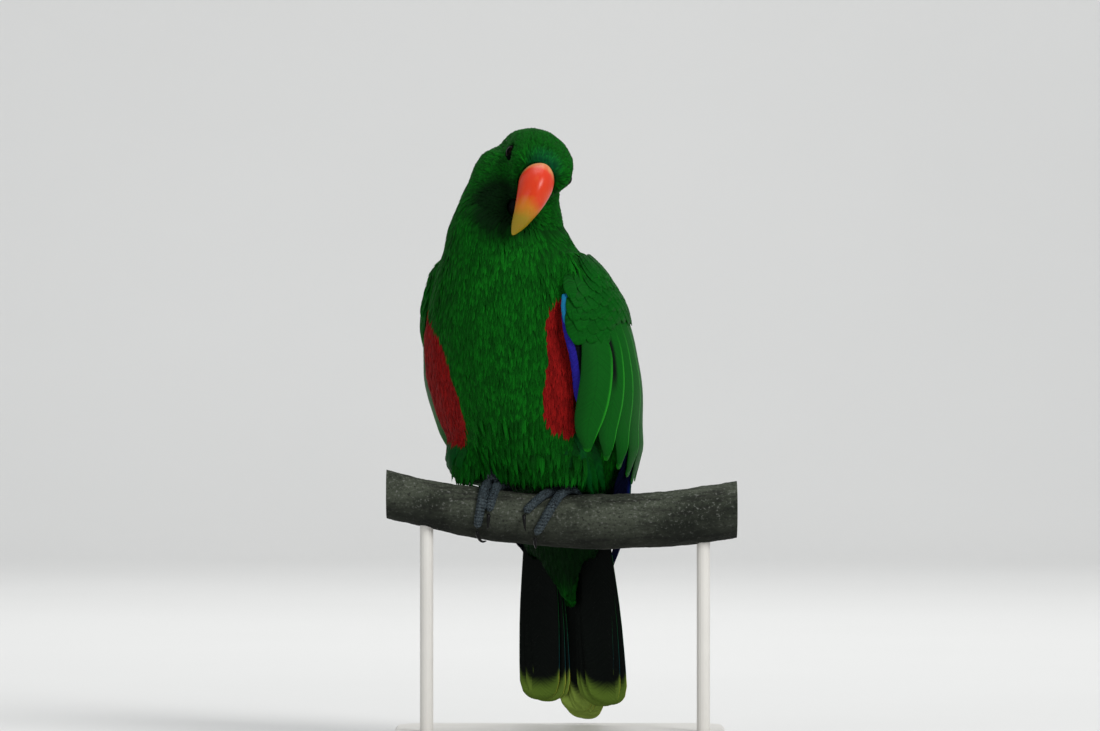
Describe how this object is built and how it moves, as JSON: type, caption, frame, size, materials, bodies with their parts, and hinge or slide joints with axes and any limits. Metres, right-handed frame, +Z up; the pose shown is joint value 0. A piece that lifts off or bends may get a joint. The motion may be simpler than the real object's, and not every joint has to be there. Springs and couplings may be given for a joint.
{
  "type": "eclectus parrot, male, on a perch and display stand",
  "caption": "Life-size still model of a male eclectus parrot, green with red flanks and an orange bill, gripping a short branch on a plain display stand.",
  "frame": {"origin": "middle of the base's underside", "axes": "+Z up; the bird faces -Y, turned 25 degrees towards -X; +X is the bird's left, the viewer's right"},
  "size_m": [0.2103, 0.17, 0.3739],
  "materials": {
    "plumage": "soft matt feathers, green with red flanks",
    "wing": "satin green feathers with blue and black flight feathers",
    "tail": "satin green above, black below, yellow tips",
    "bill_orange": "glossy horn, orange, yellow towards the tip",
    "bill_black": "satin black horn",
    "eye": "glossy, dark",
    "foot": "matt slate-grey scales",
    "claw": "satin black horn",
    "bark": "rough grey-brown bark, sawn ends",
    "stand": "satin pale paint"
  },
  "bodies": {
    "root": {"head": "plumage", "neck": "plumage", "trunk": "plumage", "thigh_left": "plumage", "thigh_right": "plumage", "undertail_coverts": "plumage", "uppertail_coverts": "plumage", "wing_left": "wing", "wing_right": "wing", "tail": "tail", "bill_upper": "bill_orange", "bill_lower": "bill_black", "eye_left": "eye", "eye_right": "eye", "foot_left": "foot", "foot_right": "foot", "perch": "bark", "stand_base": "stand", "stand_rod_left": "stand", "stand_rod_right": "stand", "claw_left_outer": "claw", "claw_left_inner": "claw", "claw_left_rear_outer": "claw", "claw_left_rear_inner": "claw", "claw_right_outer": "claw", "claw_right_inner": "claw", "claw_right_rear_outer": "claw", "claw_right_rear_inner": "claw"}
  },
  "joints": []
}
